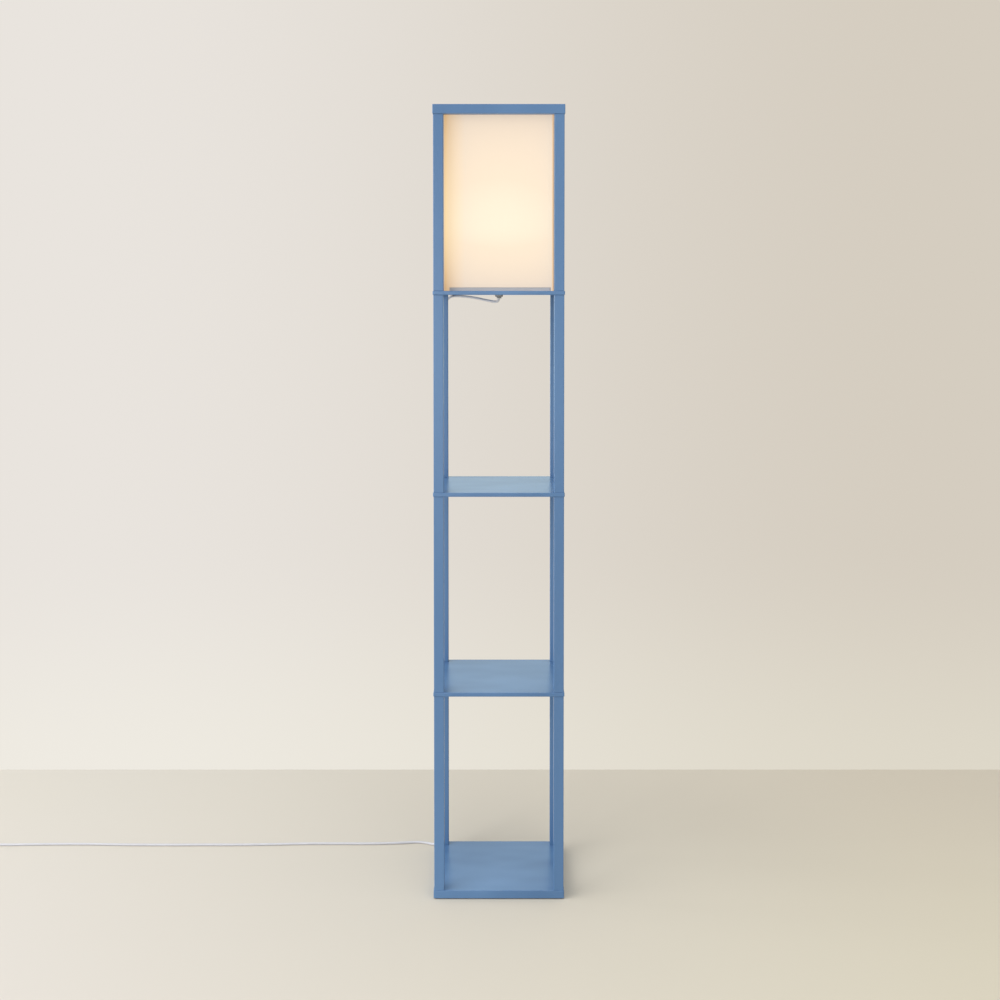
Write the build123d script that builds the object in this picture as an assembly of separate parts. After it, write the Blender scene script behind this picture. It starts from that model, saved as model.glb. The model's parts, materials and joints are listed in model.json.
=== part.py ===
from build123d import *
import math
import os

# Shelf floor lamp: a square tower of three open bays, with a fabric shade in its top bay.
# Millimetres. +X is the viewer's right, +Y is the back, +Z is up.
# The origin is at the centre of the footprint, on the floor.

os.makedirs("parts", exist_ok=True)

# ---------------------------------------------------------------------------
# Driving dimensions
# ---------------------------------------------------------------------------

# Boards and posts of the tower
plate_side = 262.0            # the base, the shelves and the top frame, square in plan
plate_corner_round = 2.0      # in plan
plate_edge_round = 1.2
base_thickness = 16.0
shelf_thickness = 8.0
post_side = 20.0
post_inset = 1.3              # how far the posts stand back from the boards' edges
post_edge_round = 1.2
post_end_chamfer = 0.5
open_bay_height = 393.0       # post length in each of the three open bays
lamp_bay_height = 348.5       # post length round the shade
rail_height = 19.0
rail_width = 20.0
rail_edge_round = 1.2
foot_thickness = 1.5
foot_diameter = 20.0
foot_inset = 42.0             # from the base's edges to a foot's centre

# Fasteners
bolt_diameter = 6.0
bolt_reach_down = 20.0        # coarse thread of a hanger bolt, in the post below
bolt_reach_up = 12.0          # fine thread, in the insert of the post above
bolt_end_chamfer = 1.0
insert_diameter = 9.0
insert_length = 13.0
screw_head_diameter = 11.5
screw_head_height = 3.2
screw_drive_diameter = 4.5
screw_drive_depth = 1.8
post_dowel_diameter = 8.0
post_dowel_in_post = 16.0
post_dowel_in_rail = 8.0
frame_dowel_diameter = 5.0
frame_dowel_length = 24.0
frame_dowel_height = 12.5     # from the rails' underside to the dowel's axis
dowel_end_chamfer = 0.6
fit_gap = 0.1                 # round a fastener in its hole
hole_extra = 0.5              # a blind hole is this much deeper than what it holds

# Shade
shade_gap = 0.4               # between the shade and the posts' inner faces
shade_below_rail_top = 5.0
panel_thickness = 1.2
panel_slot_width = 202.0
panel_slot_height = 7.0
front_slot_offset = 2.7       # the front slot sits off centre, beside the overlap
overlap_width = 12.7
overlap_thickness = 0.8
ring_corner_radius = 8.0
ring_bar_thickness = 1.5
ring_gap = 0.1                # between a ring and the panels it is glued to
top_wire_diameter = 3.2
top_wire_drop = 4.0           # from the shade's top edge to the wire's axis
arm_width = 10.0
arm_thickness = 1.5
hub_diameter = 30.0

# Lamp holder
nipple_diameter = 10.0
nipple_bore = 7.6
nipple_below_nut = 2.0
nipple_in_holder = 10.0
nut_across_flats = 14.0
nut_thickness = 4.0
nut_chamfer = 0.8
bushing_flange_diameter = 10.4
bushing_flange_thickness = 1.5
bushing_sleeve_length = 5.0
cap_height = 12.0
cap_floor = 8.0
cap_neck_radius = 10.0
cap_neck_height = 3.0
holder_radius = 18.0
holder_wall = 2.6
holder_height = 28.0          # of the upper body, above the cap
holder_floor_height = 2.0     # from the body's lower edge to its floor
holder_floor_thickness = 2.5
holder_edge_round = 1.0
wire_hole_diameter = 3.2
wire_diameter = 2.2
wire_spacing = 3.0
screw_shell_wall = 0.5
screw_shell_drop = 2.0        # from the holder's rim to the screw shell's rim
screw_shell_gap = 0.25        # round the bulb's cap
shell_floor_bore = 12.0
contact_radius = 4.0
contact_height = 1.5

# Bulb
bulb_seat_gap = 0.3           # between the holder's contact and the bulb's
tip_radius = 4.5
tip_height = 2.0
cap_cone_radius = 10.5
cap_cone_height = 4.0
bulb_cap_radius = 13.1
bulb_cap_height = 20.0
bulb_neck_radius = 12.6
bulb_neck_height = 4.0
globe_radius = 30.0
globe_height = 52.0           # from the cap's upper edge to the globe's centre

# Lead
cord_diameter = 5.0
cord_floor_gap = 0.1          # under the cord where it lies on the floor
cord_hole_gap = 0.3           # round the cord in its bushing
clip_standoff = 7.3           # from the post's back face to the cord's axis
clip_base_width = 14.0
clip_base_thickness = 2.0
clip_height = 10.0
clip_wall = 1.5
clip_gap = 0.3
clip_mouth = 4.0
clip_below_shelf = 132.5      # from the lamp shelf down to the upper clip's centre
clip_above_floor = 95.0

# Switch in the lead
switch_length = 62.0
switch_width = 26.0
switch_lower_height = 9.0
switch_upper_height = 9.0
switch_corner_radius = 11.0
switch_lower_round = 1.5
switch_upper_round = 3.5
switch_entry_height = 5.0     # the cord's axis where it enters
rocker_length = 22.0
rocker_width = 11.6
rocker_side_gap = 0.2
rocker_end_gap = 0.7
rocker_tilt = 9.0             # degrees each side of level
rocker_dip = 1.6              # how much lower the rocker's middle is than its ends
rocker_rise = 3.4             # from the pivot to the rocker's ends
rocker_skirt = 1.0            # from the pivot down to the rocker's underside
rocker_pivot_height = 5.0     # from the housing's joint line to the pivot
rocker_hub_radius = 3.0
trunnion_radius = 1.5
trunnion_length = 2.0
trunnion_gap = 0.05
relief_length = 20.0
relief_base_radius = 4.4
relief_tip_radius = 3.0
relief_ribs = 4
relief_groove = 0.5

# Plug
plug_length = 30.0
plug_width = 26.0
plug_corner_radius = 4.0
plug_neck_width = 13.0
plug_neck_height = 11.0
plug_relief_length = 24.0
blade_length = 17.0
blade_root = 3.0              # of a blade, inside the plug
blade_height = 6.4
blade_thickness = 1.5
blade_spacing = 12.7
blade_hole_diameter = 3.2
blade_hole_from_tip = 4.5

# Coil of the put-away lead
coil_mean_radius = 27.5
coil_pitch = 5.7              # between turns, across and up
turns_in = 1.5                # spiralling in, in the lower layer
turns_out = 1.5               # spiralling out, in the upper layer
steps_per_turn = 4

# ---------------------------------------------------------------------------
# Levels and places worked out from the dimensions
# ---------------------------------------------------------------------------

base_low = foot_thickness
base_top = base_low + base_thickness
lower_shelf_low = base_top + open_bay_height
lower_shelf_top = lower_shelf_low + shelf_thickness
middle_shelf_low = lower_shelf_top + open_bay_height
middle_shelf_top = middle_shelf_low + shelf_thickness
lamp_shelf_low = middle_shelf_top + open_bay_height
lamp_shelf_top = lamp_shelf_low + shelf_thickness
rail_low = lamp_shelf_top + lamp_bay_height
rail_top = rail_low + rail_height

plate_half = plate_side / 2
post_centre = plate_half - post_inset - post_side / 2
post_inner = post_centre - post_side / 2
post_outer = post_centre + post_side / 2
bolt_hole = bolt_diameter + 2 * fit_gap
post_dowel_hole = post_dowel_diameter + 2 * fit_gap

shade_half = post_inner - shade_gap
shade_inner = shade_half - panel_thickness
shade_height = rail_top - shade_below_rail_top - lamp_shelf_top
ring_half = shade_inner - ring_gap

holder_low = lamp_shelf_top + arm_thickness
nut_low = lamp_shelf_low - nut_thickness
nipple_low = nut_low - nipple_below_nut
nipple_top = holder_low + nipple_in_holder
body_low = holder_low + cap_height
body_floor_top = body_low + holder_floor_height + holder_floor_thickness
body_top = body_low + holder_height
bulb_low = body_floor_top + contact_height + bulb_seat_gap
bulb_cap_low = bulb_low + tip_height
globe_low = bulb_cap_low + cap_cone_height + bulb_cap_height

cord_radius = cord_diameter / 2
floor_axis = cord_radius + cord_floor_gap
tail_axis = floor_axis + coil_pitch
drop_x = -post_centre
drop_y = post_outer + clip_standoff

CORNERS = {
    "front_left": (-1, -1),
    "front_right": (1, -1),
    "back_left": (-1, 1),
    "back_right": (1, 1),
}
TIERS = {
    "bottom": (base_top, open_bay_height),
    "middle": (lower_shelf_top, open_bay_height),
    "upper": (middle_shelf_top, open_bay_height),
    "lamp": (lamp_shelf_top, lamp_bay_height),
}
SHELF_LEVELS = (lower_shelf_low, middle_shelf_low, lamp_shelf_low)

# The lead's route from the bushing to its switch, chosen point by point (X, Y, Z): out of the
# nipple, up to the lamp shelf and round its back edge, down behind the post, and off to the left.
lead_points = [
    (0.0, 0.0, nipple_low + 4.5),
    (0.0, 0.0, nipple_low - 3.5),
    (-4.2, 4.6, nipple_low - 8.7),
    (-14.0, 16.0, lamp_shelf_low - 13.9),
    (-29.5, 33.5, lamp_shelf_low - 10.9),
    (-50.0, 57.0, lamp_shelf_low - 6.5),
    (-73.0, 85.0, lamp_shelf_low - 3.6),
    (-91.0, 113.0, lamp_shelf_low - 2.7),
    (-105.0, 138.0, lamp_shelf_low - 3.3),
    (-116.5, 152.5, lamp_shelf_low - 18.0),
    (-121.0, 152.0, lamp_shelf_low - 43.0),
    (-120.6, 143.0, lamp_shelf_low - 71.5),
    (drop_x, drop_y, lamp_shelf_low - 107.5),
    (drop_x, drop_y, 72.0),
    (-120.2, 137.6, 44.0),
    (-124.5, 139.6, 19.0),
    (-139.5, 147.2, 2.6),
    (-160.0, 159.8, 2.6),
    (-181.0, 164.6, 2.6),
    (-209.0, 160.6, 2.6),
    (-250.0, 156.0, 2.6),
    (-310.0, 154.4, 2.6),
    (-375.0, 155.6, 2.6),
    (-440.0, 154.6, 2.6),
    (-505.0, 150.6, 2.6),
    (-573.0, 148.3, 2.6),
    (-643.0, 148.9, 2.6),
    (-712.0, 148.0, 2.6),
    (-782.0, 148.2, 2.6),
    (-850.0, 149.8, 2.6),
    (-915.0, 153.0, 2.6),
    (-980.0, 152.6, 2.6),
    (-1040.0, 150.0, 2.6),
    (-1080.0, 148.6, 2.6),
    (-1104.0, 149.0, 2.8),
    (-1121.0, 149.0, switch_entry_height),
    (-1136.0, 149.0, switch_entry_height),
]
lead_end = lead_points[-1]
switch_near = lead_end[0] - relief_length
switch_middle = switch_near - switch_length / 2
switch_far = switch_near - switch_length
switch_y = lead_end[1]
link_start = switch_far - relief_length

# From the switch's far end down to the coil.
link_points = [
    (link_start, switch_y, switch_entry_height),
    (link_start - 9.0, switch_y, switch_entry_height),
    (link_start - 19.0, switch_y, floor_axis),
    (link_start - 28.0, switch_y, floor_axis),
]
coil_start = Vector(*link_points[-1])


# ---------------------------------------------------------------------------
# Tower
# ---------------------------------------------------------------------------

def bore(diameter, length):
    """A cutting cylinder from z = 0 up."""
    return Cylinder(diameter / 2, length, align=(Align.CENTER, Align.CENTER, Align.MIN))


def at_corners(solid, z):
    """Copies of a solid at the four post axes."""
    return [Pos(sx * post_centre, sy * post_centre, z) * solid for sx, sy in CORNERS.values()]


def group(solids):
    """Separate solids that share one node."""
    return Compound(children=list(solids))


def plate(thickness):
    """A square board with eased corners and edges, its underside at z = 0."""
    board = extrude(RectangleRounded(plate_side, plate_side, plate_corner_round), thickness)
    rims = board.edges().group_by(Axis.Z)
    return fillet(rims[0] + rims[-1], plate_edge_round)


def countersink(gap):
    """A flat screw head's taper from z = 0 up to its shank, made wider all round by a gap."""
    return Cone(
        screw_head_diameter / 2 + gap,
        bolt_diameter / 2 + gap,
        screw_head_height,
        align=(Align.CENTER, Align.CENTER, Align.MIN),
    )


def base_board():
    """The floor board, with countersunk holes for the posts' screws."""
    board = plate(base_thickness)
    hole = bore(bolt_hole, base_thickness) + countersink(fit_gap)
    for cut in at_corners(hole, 0):
        board -= cut
    return Pos(0, 0, base_low) * board


def shelf_board(z):
    """A shelf with a through hole at each post for its hanger bolt."""
    board = plate(shelf_thickness)
    for cut in at_corners(bore(bolt_hole, shelf_thickness), 0):
        board -= cut
    return Pos(0, 0, z) * board


def lamp_shelf():
    """The highest shelf, which also holds the threaded nipple at its middle."""
    hole = bore(nipple_diameter + 2 * fit_gap, shelf_thickness)
    return shelf_board(lamp_shelf_low) - Pos(0, 0, lamp_shelf_low) * hole


def post(length, is_top):
    """A post with an insert hole in its foot, and a bolt or dowel hole in its head."""
    shaft = extrude(RectangleRounded(post_side, post_side, post_edge_round), length)
    ends = shaft.edges().group_by(Axis.Z)
    shaft = chamfer(ends[0] + ends[-1], post_end_chamfer)
    shaft -= bore(insert_diameter + 2 * fit_gap, insert_length + hole_extra)
    if is_top:
        depth = post_dowel_in_post + hole_extra
        head = bore(post_dowel_hole, depth)
    else:
        depth = bolt_reach_down + hole_extra
        head = bore(bolt_hole, depth)
    return shaft - Pos(0, 0, length - depth) * head


def threaded_inserts():
    """A sleeve in the foot of each post, with its upper end closed over the bolt."""
    sleeve = bore(insert_diameter, insert_length) - bore(bolt_hole, insert_length)
    return group(s for z, _ in TIERS.values() for s in at_corners(sleeve, z))


def hanger_bolts():
    """Double-ended bolts that go through each shelf and join the posts above and below."""
    length = bolt_reach_down + shelf_thickness + bolt_reach_up
    bolt = bore(bolt_diameter, length)
    bolt = chamfer(bolt.edges().group_by(Axis.Z)[-1], bolt_end_chamfer)
    return group(s for z in SHELF_LEVELS for s in at_corners(bolt, z - bolt_reach_down))


def base_screws():
    """Flat-headed screws up through the base into the lowest posts."""
    shank = Pos(0, 0, screw_head_height) * bore(
        bolt_diameter, base_thickness + bolt_reach_up - screw_head_height
    )
    drive = extrude(RegularPolygon(screw_drive_diameter / 2, 6), screw_drive_depth)
    return group(at_corners(countersink(0) + shank - drive, base_low))


def felt_feet():
    """Felt discs stuck under the base, inside the screws."""
    reach = plate_half - foot_inset
    disc = bore(foot_diameter, foot_thickness)
    return group(Pos(sx * reach, sy * reach, 0) * disc for sx, sy in CORNERS.values())


# ---------------------------------------------------------------------------
# Open top frame
# ---------------------------------------------------------------------------

def at_rail_joints(solid):
    """Copies of a solid at the four joints between the rails."""
    x = plate_half - rail_width / 2
    y = plate_half - rail_width
    z = rail_low + frame_dowel_height
    return [Pos(sx * x, sy * y, z) * solid for sx, sy in CORNERS.values()]


def frame_dowel_hole():
    """A hole along Y, half of it in each of the two rails that a dowel joins."""
    length = frame_dowel_length + 2 * hole_extra
    return Rot(90, 0, 0) * Cylinder(frame_dowel_diameter / 2 + fit_gap, length)


def cross_rail(side):
    """The front (-1) or back (1) rail, over the whole width."""
    rail = extrude(Rectangle(plate_side, rail_width), rail_height)
    rail = fillet(rail.edges(), rail_edge_round)
    rail = Pos(0, side * (plate_half - rail_width / 2), rail_low) * rail
    post_hole = bore(post_dowel_hole, post_dowel_in_rail + hole_extra)
    for cut in at_corners(post_hole, rail_low) + at_rail_joints(frame_dowel_hole()):
        rail -= cut
    return rail


def side_rail(side):
    """The left (-1) or right (1) rail, between the cross rails."""
    length = plate_side - 2 * rail_width
    rail = extrude(Rectangle(rail_width, length), rail_height)
    rail = fillet(rail.edges().filter_by(Axis.Y), rail_edge_round)
    rail = Pos(side * (plate_half - rail_width / 2), 0, rail_low) * rail
    for cut in at_rail_joints(frame_dowel_hole()):
        rail -= cut
    return rail


def dowel(diameter, length):
    """A wooden dowel with eased ends, from z = 0 up."""
    pin = bore(diameter, length)
    return chamfer(pin.edges(), dowel_end_chamfer)


def post_dowels():
    """Dowels from the highest posts up into the top frame."""
    pin = dowel(post_dowel_diameter, post_dowel_in_post + post_dowel_in_rail)
    return group(at_corners(pin, rail_low - post_dowel_in_post))


def frame_dowels():
    """Dowels that join the side rails to the cross rails."""
    pin = Rot(90, 0, 0) * dowel(frame_dowel_diameter, frame_dowel_length)
    return group(at_rail_joints(Pos(0, frame_dowel_length / 2, 0) * pin))


# ---------------------------------------------------------------------------
# Shade
# ---------------------------------------------------------------------------

def panel_outline(width, slot_offset):
    """A panel seen square on, with the slot in its lower edge that the bar shows through."""
    sheet = Pos(0, lamp_shelf_top + shade_height / 2) * Rectangle(width, shade_height)
    slot = Rectangle(panel_slot_width, panel_slot_height)
    return sheet - Pos(slot_offset, lamp_shelf_top + panel_slot_height / 2) * slot


def shade_panel(name):
    """One side of the shade: fabric on a stiff sheet."""
    if name == "front":
        outline = Plane.XZ.offset(shade_inner) * panel_outline(2 * shade_half, front_slot_offset)
    elif name == "back":
        outline = Plane.XZ.offset(-shade_half) * panel_outline(2 * shade_half, 0.0)
    elif name == "left":
        outline = Plane.YZ.offset(-shade_half) * panel_outline(2 * shade_inner, 0.0)
    else:
        outline = Plane.YZ.offset(shade_inner) * panel_outline(2 * shade_inner, 0.0)
    return extrude(outline, panel_thickness)


def shade_overlap():
    """The strip where the wrapped shade laps over itself, inside the front panel."""
    low = panel_slot_height + ring_gap
    high = shade_height - top_wire_drop - top_wire_diameter
    strip = Box(overlap_width, overlap_thickness, high - low, align=Align.MIN)
    return Pos(-shade_inner, -shade_inner, lamp_shelf_top + low) * strip


def top_wire():
    """The square wire inside the shade's top edge."""
    reach = ring_half - top_wire_diameter / 2
    z = lamp_shelf_top + shade_height - top_wire_drop
    line = RectangleRounded(2 * reach, 2 * reach, ring_corner_radius).wire()
    start = line.position_at(0)
    section = Plane(origin=start, z_dir=line.tangent_at(0)) * Circle(top_wire_diameter / 2)
    return Pos(0, 0, z) * sweep(section, path=line)


def shade_frame():
    """The flat bar round the shade's foot, with two arms that the nipple clamps."""
    outer = RectangleRounded(2 * ring_half, 2 * ring_half, ring_corner_radius)
    inner_half = ring_half - ring_bar_thickness
    inner_radius = ring_corner_radius - ring_bar_thickness
    inner = RectangleRounded(2 * inner_half, 2 * inner_half, inner_radius)
    bar = extrude(outer - inner, panel_slot_height)
    arm_length = 2 * ring_half - ring_bar_thickness
    arms = Rectangle(arm_length, arm_width) + Rectangle(arm_width, arm_length)
    hub = arms + Circle(hub_diameter / 2) - Circle(nipple_diameter / 2 + fit_gap)
    return Pos(0, 0, lamp_shelf_top) * (bar + extrude(hub, arm_thickness))


# ---------------------------------------------------------------------------
# Lamp holder and bulb
# ---------------------------------------------------------------------------

def turned(points):
    """A solid of revolution about the lamp's axis, from (radius, height) points."""
    outline = make_face(Plane.XZ * Polyline(*points, close=True))
    return revolve(outline, Axis.Z)


def nipple():
    """The threaded tube that clamps the holder, the shade frame and the shelf."""
    length = nipple_top - nipple_low
    tube = bore(nipple_diameter, length) - bore(nipple_bore, length)
    return Pos(0, 0, nipple_low) * tube


def lock_nut():
    """The hexagonal nut under the lamp shelf."""
    nut = extrude(RegularPolygon(nut_across_flats / 2, 6, major_radius=False), nut_thickness)
    corner_radius = nut_across_flats / math.sqrt(3)
    dome = bore(2 * corner_radius, nut_thickness)
    dome = chamfer(dome.edges().group_by(Axis.Z)[0], nut_chamfer)
    return Pos(0, 0, nut_low) * ((nut & dome) - bore(nipple_diameter + 2 * fit_gap, nut_thickness))


def cord_bushing():
    """The insulating collar in the nipple's lower end, which the lead comes out of."""
    hole = cord_radius + cord_hole_gap
    sleeve = nipple_bore / 2 - fit_gap
    flange = bushing_flange_diameter / 2
    points = [
        (hole, nipple_low - bushing_flange_thickness),
        (flange, nipple_low - bushing_flange_thickness),
        (flange, nipple_low),
        (sleeve, nipple_low),
        (sleeve, nipple_low + bushing_sleeve_length),
        (hole, nipple_low + bushing_sleeve_length),
    ]
    return turned(points)


def holder_cap():
    """The lower half of the lamp holder: a flared cup screwed on to the nipple."""
    hole = nipple_diameter / 2 + fit_gap
    points = [
        (hole, holder_low),
        (cap_neck_radius, holder_low),
        (cap_neck_radius, holder_low + cap_neck_height),
        (holder_radius, holder_low + cap_floor),
        (holder_radius, body_low),
        (holder_radius - holder_wall, body_low),
        (holder_radius - holder_wall, holder_low + cap_floor + fit_gap),
        (hole, holder_low + cap_floor + fit_gap),
    ]
    return turned(points)


def holder_body():
    """The upper half: a tube with a floor that carries the screw shell and the contact."""
    inner = bulb_cap_radius + screw_shell_gap + screw_shell_wall + fit_gap
    skirt = holder_radius - holder_wall
    floor_low = body_low + holder_floor_height
    points = [
        (0, floor_low),
        (skirt, floor_low),
        (skirt, body_low),
        (holder_radius, body_low),
        (holder_radius, body_top - holder_edge_round),
        (holder_radius - holder_edge_round, body_top),
        (inner, body_top),
        (inner, body_floor_top),
        (0, body_floor_top),
    ]
    body = turned(points)
    wire_hole = bore(wire_hole_diameter, holder_floor_thickness)
    for side in (-1, 1):
        body -= Pos(side * wire_spacing / 2, 0, floor_low) * wire_hole
    return body


def screw_shell():
    """The brass cup that the bulb's cap screws into."""
    inner = bulb_cap_radius + screw_shell_gap
    outer = inner + screw_shell_wall
    high = body_top - screw_shell_drop
    points = [
        (shell_floor_bore / 2, body_floor_top),
        (outer, body_floor_top),
        (outer, high),
        (inner, high),
        (inner, body_floor_top + screw_shell_wall),
        (shell_floor_bore / 2, body_floor_top + screw_shell_wall),
    ]
    return turned(points)


def centre_contact():
    """The holder's middle contact."""
    return Pos(0, 0, body_floor_top) * bore(2 * contact_radius, contact_height)


def holder_wires():
    """The lead's two conductors, from its jacket's end up to the contacts."""
    wire = bore(wire_diameter, body_floor_top - lead_points[0][2])
    z = lead_points[0][2]
    return group(Pos(side * wire_spacing / 2, 0, z) * wire for side in (-1, 1))


def bulb_tip():
    """The bulb's centre contact."""
    return Pos(0, 0, bulb_low) * bore(2 * tip_radius, tip_height)


def bulb_cap():
    """The bulb's screw cap with its insulating cone."""
    shell_low = bulb_cap_low + cap_cone_height
    points = [
        (0, bulb_cap_low),
        (tip_radius, bulb_cap_low),
        (cap_cone_radius, shell_low),
        (bulb_cap_radius, shell_low),
        (bulb_cap_radius, globe_low),
        (0, globe_low),
    ]
    return turned(points)


def bulb_globe():
    """The opal globe: a sphere that a hollow-sided neck meets without a break."""
    # A circle touching the sphere from outside, upright where the straight neck ends.
    rise = globe_height - bulb_neck_height
    neck = bulb_neck_radius
    flare = (rise**2 + neck**2 - globe_radius**2) / (2 * (globe_radius - neck))
    reach = globe_radius + flare
    touch_x = globe_radius * (neck + flare) / reach
    touch_z = globe_height - globe_radius * rise / reach
    half = math.asin(rise / reach) / 2
    flare_mid = (neck + flare - flare * math.cos(half), bulb_neck_height + flare * math.sin(half))
    dome_angle = (math.pi / 2 - math.asin(rise / reach)) / 2
    dome_mid = (globe_radius * math.cos(dome_angle), globe_height + globe_radius * math.sin(dome_angle))
    line = Polyline((0, 0), (neck, 0), (neck, bulb_neck_height))
    line += ThreePointArc((neck, bulb_neck_height), flare_mid, (touch_x, touch_z))
    line += ThreePointArc((touch_x, touch_z), dome_mid, (0, globe_height + globe_radius))
    line += Line((0, globe_height + globe_radius), (0, 0))
    return Pos(0, 0, globe_low) * revolve(make_face(Plane.XZ * line), Axis.Z)


# ---------------------------------------------------------------------------
# Lead
# ---------------------------------------------------------------------------

def corner_radii(points):
    """For each inner point, 0.45 of its shorter run over the tangent of half its turn."""
    radii = []
    for before, here, after in zip(points, points[1:], points[2:]):
        arrive = Vector(*here) - Vector(*before)
        leave = Vector(*after) - Vector(*here)
        turn = math.radians(arrive.get_angle(leave))
        radii.append(0.45 * min(arrive.length, leave.length) / math.tan(turn / 2))
    return radii


def cord_tube(points, name):
    """A tube along straight runs joined by tangent arcs."""
    radii = corner_radii(points)
    path = FilletPolyline(*points, radius=radii)
    start = Vector(*points[0])
    section = Plane(origin=start, z_dir=Vector(*points[1]) - start) * Circle(cord_radius)
    tube = sweep(section, path=path)
    expected = math.pi * cord_radius**2 * path.length
    print(name, "radii", [round(radius, 1) for radius in radii])
    print(name, "length", round(path.length, 1), "volume share", round(tube.volume / expected, 5))
    return tube


def coil_point(turn):
    """The coil's centre line after so many turns, before it is placed: in, up a layer, out."""
    spread = coil_pitch * turns_in
    outer = coil_mean_radius + spread / 2
    inner = outer - spread
    climb_end = turns_in + 0.5
    if turn <= turns_in:
        radius = outer - coil_pitch * turn
        height = 0.0
    elif turn <= climb_end:
        share = (turn - turns_in) / (climb_end - turns_in)
        radius = inner - coil_pitch * 0.5 * share * (1 - share)
        height = coil_pitch * (share - math.sin(2 * math.pi * share) / (2 * math.pi))
    else:
        radius = inner + coil_pitch * (turn - climb_end)
        height = coil_pitch
    angle = math.pi / 2 + 2 * math.pi * turn
    return Vector(radius * math.cos(angle), radius * math.sin(angle), height)


def coil_direction(turn):
    """Which way the coil's centre line heads after so many turns."""
    step = 1e-4
    last = turns_in + 0.5 + turns_out
    ahead = coil_point(min(turn + step, last))
    behind = coil_point(max(turn - step, 0.0))
    return (ahead - behind).normalized()


def biarc(start, start_way, end, end_way):
    """Two tangent arcs from one point and heading to another."""
    chord = end - start
    ways = start_way + end_way
    bend = 2 * (1 - start_way.dot(end_way))
    along = chord.dot(ways)
    reach = (-along + math.sqrt(along**2 + bend * chord.dot(chord))) / bend
    joint = (start + end + (start_way - end_way) * reach) * 0.5
    first = TangentArc(start, joint, tangent=start_way)
    second = TangentArc(joint, end, tangent=first % 1)
    return [first, second]


def coil_path():
    """The coil's whole centre line, placed: it starts in line with the lead's last stretch."""
    count = round((turns_in + 0.5 + turns_out) * steps_per_turn)
    turns = [i / steps_per_turn for i in range(count + 1)]
    heading = coil_direction(0)
    twist = math.degrees(math.atan2(heading.Y, -heading.X))
    straight = Vector(-cord_diameter, 0, 0)
    shift = coil_start + straight - coil_point(0).rotate(Axis.Z, twist)
    points = [coil_point(t).rotate(Axis.Z, twist) + shift for t in turns]
    ways = [coil_direction(t).rotate(Axis.Z, twist) for t in turns]
    edges = [Line(coil_start, points[0])]
    for i in range(count):
        edges += biarc(points[i], ways[i], points[i + 1], ways[i + 1])
    edges.append(Line(points[-1], points[-1] + ways[-1] * cord_diameter))
    return Wire(edges), points[-1] + ways[-1] * cord_diameter, ways[-1]


def least_gap(path):
    """The least gap between a winding tube's surfaces, apart from near neighbours on its line."""
    samples = 900
    skip = round(samples * 3 * cord_diameter / path.length)
    line = [path.position_at(i / samples) for i in range(samples + 1)]
    least = min(
        (line[i] - line[j]).length
        for i in range(0, samples + 1, 2)
        for j in range(i + skip, samples + 1, 2)
    )
    return least - cord_diameter


def cord_coil(path):
    """The put-away length as one unbroken winding tube."""
    section = Plane(origin=coil_start, z_dir=(-1, 0, 0)) * Circle(cord_radius)
    tube = sweep(section, path=path)
    expected = math.pi * cord_radius**2 * path.length
    print("coil length", round(path.length, 1), "least gap", round(least_gap(path), 2))
    print("coil volume share", round(tube.volume / expected, 5))
    return tube


def cord_clips():
    """Two C-shaped clips stuck to the back of the back left posts."""
    hold = cord_radius + clip_gap
    ring = Circle(hold + clip_wall) - Circle(hold)
    mouth = Pos(hold, 0) * Rectangle(2 * hold, clip_mouth)
    foot_length = clip_standoff - hold
    foot = Pos(0, -(hold + foot_length / 2)) * Rectangle(2 * clip_wall, foot_length)
    base = Pos(0, clip_base_thickness / 2 - clip_standoff) * Rectangle(
        clip_base_width, clip_base_thickness
    )
    outline = ring - mouth + (foot - Circle(hold)) + base
    clip = Pos(drop_x, drop_y, -clip_height / 2) * extrude(outline, clip_height)
    heights = (lamp_shelf_low - clip_below_shelf, clip_above_floor)
    return group(Pos(0, 0, z) * clip for z in heights)


# ---------------------------------------------------------------------------
# Switch in the lead
# ---------------------------------------------------------------------------

def strain_relief(length, base_radius):
    """A ribbed sleeve that tapers from its housing, along -X from its base at x = 0."""
    points = [(0, 0), (0, base_radius)]
    step = length / (relief_ribs + 1)
    taper = (base_radius - relief_tip_radius) / length
    for i in range(1, relief_ribs + 1):
        x = i * step
        radius = base_radius - taper * x
        points += [
            (-x + step / 4, radius + taper * step / 4),
            (-x + step / 4, radius - relief_groove),
            (-x, radius - relief_groove),
            (-x, radius),
        ]
    points += [(-length, relief_tip_radius), (-length, 0)]
    return revolve(make_face(Polyline(*points, close=True)), Axis.X)


def switch_outline():
    """The housing in plan."""
    return RectangleRounded(switch_length, switch_width, switch_corner_radius)


def switch_lower():
    """The lower half of the switch housing."""
    half = extrude(switch_outline(), switch_lower_height)
    half = fillet(half.edges().group_by(Axis.Z)[0], switch_lower_round)
    return Pos(switch_middle, switch_y, 0) * half


def switch_upper():
    """The upper half, with the well and bearings that hold the rocker."""
    half = extrude(switch_outline(), switch_upper_height)
    half = fillet(half.edges().group_by(Axis.Z)[-1], switch_upper_round)
    well = Box(
        rocker_length + 2 * rocker_end_gap,
        rocker_width + 2 * rocker_side_gap,
        switch_upper_height,
        align=(Align.CENTER, Align.CENTER, Align.MIN),
    )
    bearing = Rot(90, 0, 0) * Cylinder(
        trunnion_radius + trunnion_gap,
        rocker_width + 2 * (trunnion_length + hole_extra),
    )
    half = half - well - Pos(0, 0, rocker_pivot_height) * bearing
    return Pos(switch_middle, switch_y, switch_lower_height) * half


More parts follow.
